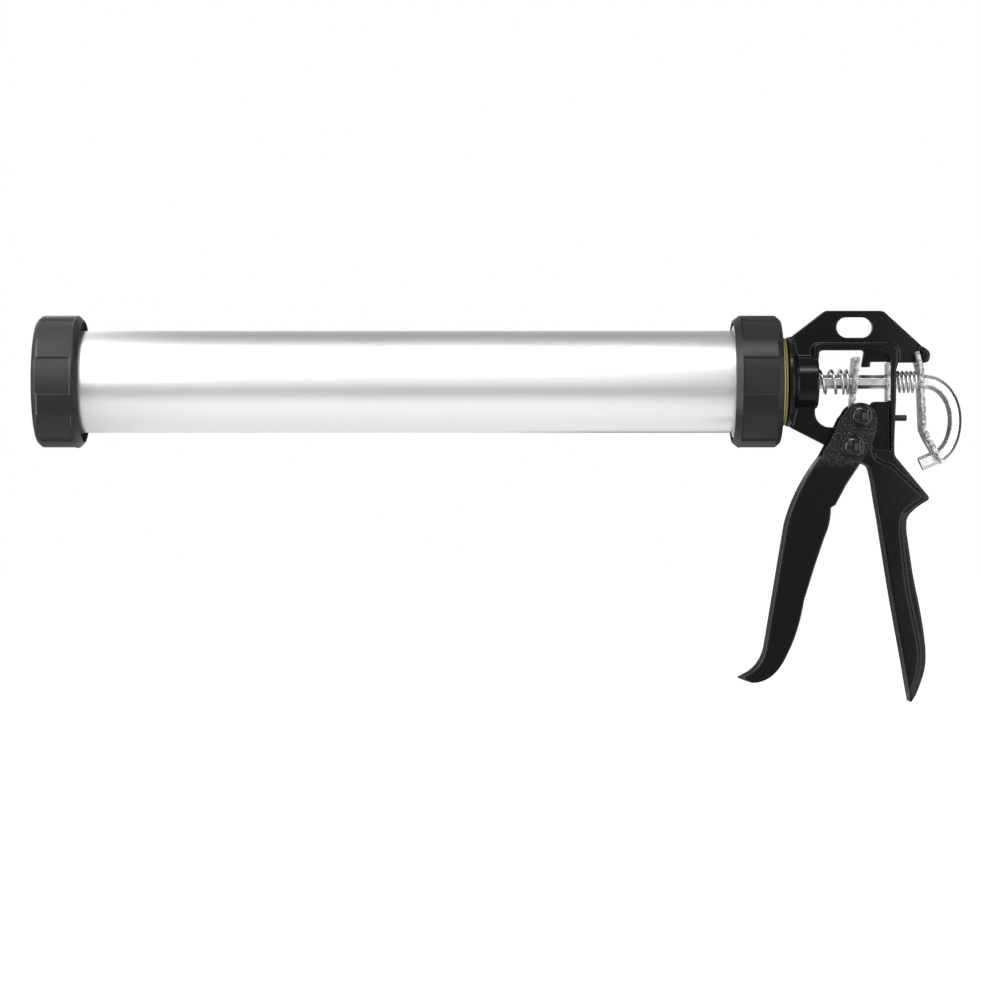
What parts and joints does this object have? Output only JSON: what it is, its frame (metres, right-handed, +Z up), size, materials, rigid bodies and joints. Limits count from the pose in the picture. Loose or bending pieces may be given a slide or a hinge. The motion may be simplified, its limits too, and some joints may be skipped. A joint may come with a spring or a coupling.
{
  "type": "sausage caulking gun",
  "caption": "Hand caulking gun with a turning aluminium barrel, screw caps, squeeze trigger, release lever and hooked hexagon push rod.",
  "frame": {"origin": "middle of the grip, where the hand holds the gun", "axes": "+X along the barrel from the front cap to the hook, +Z up, +Y to the gun's far side; the barrel's axis is 111.3 mm above the origin"},
  "size_m": [0.494, 0.0708, 0.2092],
  "materials": {
    "barrel_aluminium": "satin drawn tube",
    "cap_nylon": "satin moulded nylon",
    "piston_nylon": "natural moulded nylon",
    "yellow_washer": "olive yellow acetal",
    "zinc_steel": "bright zinc plate",
    "spring_steel": "zinc plated wire",
    "cast_frame": "gloss black paint on a die casting",
    "pressed_trigger": "black coat, wrinkled round the rivets",
    "black_steel": "gloss black steel",
    "wiper_rubber": "black rubber"
  },
  "bodies": {
    "frame": {"frame_casting": "cast_frame", "stop_peg": "black_steel", "rod_guide_plate": "zinc_steel", "pivot_rivet": "black_steel", "pivot_washer_near": "black_steel", "pivot_washer_far": "black_steel", "release_spring": "spring_steel", "swivel_washer_rear": "yellow_washer", "spigot_nut": "zinc_steel"},
    "barrel": {"barrel_tube": "barrel_aluminium", "front_thread_collar": "barrel_aluminium", "rear_thread_collar": "barrel_aluminium", "rear_cap": "cap_nylon", "swivel_washer_front": "yellow_washer", "swivel_washer_inner": "yellow_washer"},
    "nozzle_seat": {"nozzle_seat_ring": "piston_nylon"},
    "front_cap": {"front_cap": "cap_nylon"},
    "trigger": {"trigger": "pressed_trigger", "drive_rivet": "black_steel", "drive_washer_near": "black_steel", "drive_washer_far": "black_steel"},
    "drive_plate": {"drive_plate": "zinc_steel", "drive_spring": "spring_steel"},
    "release_lever": {"release_lever": "zinc_steel"},
    "push_rod": {"push_rod": "zinc_steel", "piston_nut": "zinc_steel", "piston_front_washer": "zinc_steel", "piston_disc": "piston_nylon", "piston_wiper": "wiper_rubber", "piston_rear_washer": "zinc_steel"}
  },
  "joints": [
    {"name": "barrel_swivel", "type": "hinge", "parent": "frame", "child": "barrel", "pos_m": [-0.062, 0, 0.1113], "axis": [1, 0, 0], "continuous": true},
    {"name": "front_cap_turn", "type": "hinge", "parent": "nozzle_seat", "child": "front_cap", "pos_m": [-0.4609, 0, 0.1113], "axis": [-1, 0, 0], "range_deg": [0, 1080]},
    {"name": "front_cap_travel", "type": "slide", "parent": "barrel", "child": "nozzle_seat", "axis": [-1, 0, 0], "range_m": [0, 0.0121]},
    {"name": "trigger_squeeze", "type": "hinge", "parent": "frame", "child": "trigger", "pos_m": [-0.0263, 0, 0.0769], "axis": [0, -1, 0], "range_deg": [0, 30], "stiffness_Nm_per_rad": 1.2, "springref_deg": -20.05},
    {"name": "drive_plate_travel", "type": "slide", "parent": "frame", "child": "drive_plate", "axis": [-1, 0, 0], "range_m": [0, 0.009], "deforming": ["drive_spring"]},
    {"name": "release_lever_press", "type": "hinge", "parent": "frame", "child": "release_lever", "pos_m": [0.009, 0, 0.1245], "axis": [0, 1, 0], "range_deg": [0, 10], "stiffness_Nm_per_rad": 0.4, "springref_deg": -17.19, "deforming": ["release_spring"]},
    {"name": "rod_pull", "type": "slide", "parent": "frame", "child": "push_rod", "axis": [1, 0, 0], "range_m": [0, 0.335]}
  ],
  "couplings": [
    {"joint": "front_cap_travel", "follows": "front_cap_turn", "m_per_rad": 0.00063662},
    {"joint": "drive_plate_travel", "follows": "trigger_squeeze", "m_per_rad": 0.0167}
  ]
}
